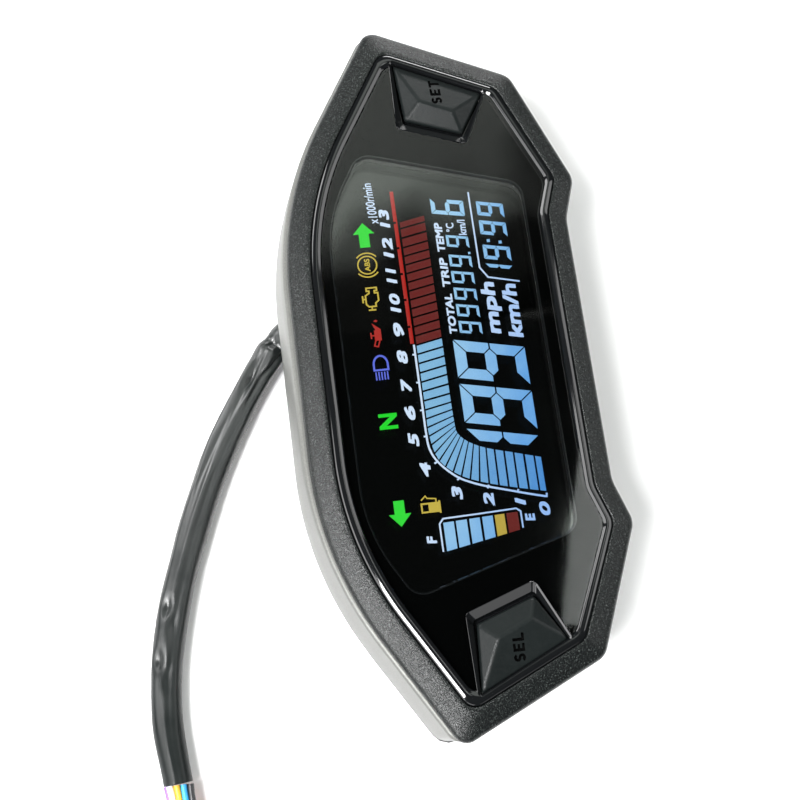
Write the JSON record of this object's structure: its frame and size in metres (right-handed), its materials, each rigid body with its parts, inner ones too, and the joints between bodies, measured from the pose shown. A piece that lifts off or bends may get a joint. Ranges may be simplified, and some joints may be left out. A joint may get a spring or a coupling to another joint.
{
  "type": "motorcycle instrument cluster",
  "caption": "Wide six-cornered motorcycle LCD meter lying face up, with corner push buttons, silver side case and a sleeved wiring pigtail with plug.",
  "frame": {"origin": "bottom centre of the box round the meter without its harness, on the plane of the three rear insert faces", "axes": "+X the way the display reads, +Y towards the edge with the warning lights, +Z out of the display"},
  "size_m": [0.2644, 0.12, 0.0366],
  "materials": {
    "silver_case": "satin silver paint on plastic",
    "textured_bezel": "fine sparkling texture",
    "rear_plastic": "matt",
    "gloss_trim": "piano gloss",
    "smoked_lens": "clear gloss",
    "seal_rubber": "matt",
    "grey_rubber": "matt",
    "print_black": "gloss print",
    "lcd_stack": "dark display glass",
    "frame_plastic": "matt",
    "white_plastic": "satin",
    "button_plastic": "fine matt",
    "circuit_board": "solder mask",
    "chip_black": "matt",
    "tin_plate": "bright",
    "insert_brass": "knurled",
    "screw_steel": "zinc",
    "sleeve_vinyl": "soft satin vinyl",
    "purple_wire": "satin wire insulation",
    "yellow_wire": "satin wire insulation",
    "orange_wire": "satin wire insulation",
    "blue_wire": "satin wire insulation",
    "black_wire": "satin wire insulation",
    "white_wire": "satin wire insulation",
    "green_wire": "satin wire insulation",
    "red_wire": "satin wire insulation"
  },
  "bodies": {
    "meter": {"side_case": "silver_case", "bezel_ring": "textured_bezel", "rear_cover": "rear_plastic", "cover_gasket": "seal_rubber", "lens_trim": "gloss_trim", "lens_panel": "smoked_lens", "lens_gasket": "seal_rubber", "display_mask": "print_black", "lcd_frame": "frame_plastic", "lcd_glass": "lcd_stack", "light_guide": "white_plastic", "upper_contact_strip": "grey_rubber", "lower_contact_strip": "grey_rubber", "set_return_pad": "grey_rubber", "sel_return_pad": "grey_rubber", "set_switch_body": "tin_plate", "sel_switch_body": "tin_plate", "main_pcb": "circuit_board", "mcu_chip": "chip_black", "lcd_driver_chip": "chip_black", "voltage_regulator": "chip_black", "clock_crystal": "tin_plate", "supply_capacitor": "chip_black", "board_socket": "white_plastic", "board_plug": "white_plastic", "inner_cable": "sleeve_vinyl", "cable_clamp": "rear_plastic", "cable_grommet": "grey_rubber", "vent_membrane": "white_plastic", "harness_sleeve": "sleeve_vinyl", "connector_housing": "white_plastic", "connector_latch": "white_plastic", "backlight_led_1": "white_plastic", "backlight_led_2": "white_plastic", "backlight_led_3": "white_plastic", "backlight_led_4": "white_plastic", "case_screw_1": "screw_steel", "case_screw_2": "screw_steel", "case_screw_3": "screw_steel", "case_screw_4": "screw_steel", "pcb_screw_1": "screw_steel", "pcb_screw_2": "screw_steel", "pcb_screw_3": "screw_steel", "pcb_screw_4": "screw_steel", "mount_insert_1": "insert_brass", "mount_insert_2": "insert_brass", "mount_insert_3": "insert_brass", "purple_wire": "purple_wire", "yellow_wire": "yellow_wire", "orange_wire": "orange_wire", "blue_wire": "blue_wire", "black_wire": "black_wire", "white_wire": "white_wire", "green_wire": "green_wire", "red_wire": "red_wire"},
    "set_button_body": {"set_button": "button_plastic", "set_switch_plunger": "chip_black"},
    "sel_button_body": {"sel_button": "button_plastic", "sel_switch_plunger": "chip_black"}
  },
  "joints": [
    {"name": "set_press", "type": "slide", "parent": "meter", "child": "set_button_body", "axis": [0, 0, -1], "range_m": [0, 0.001], "stiffness_N_per_m": 1500, "springref_m": -0.0005},
    {"name": "sel_press", "type": "slide", "parent": "meter", "child": "sel_button_body", "axis": [0, 0, -1], "range_m": [0, 0.001], "stiffness_N_per_m": 1500, "springref_m": -0.0005}
  ]
}
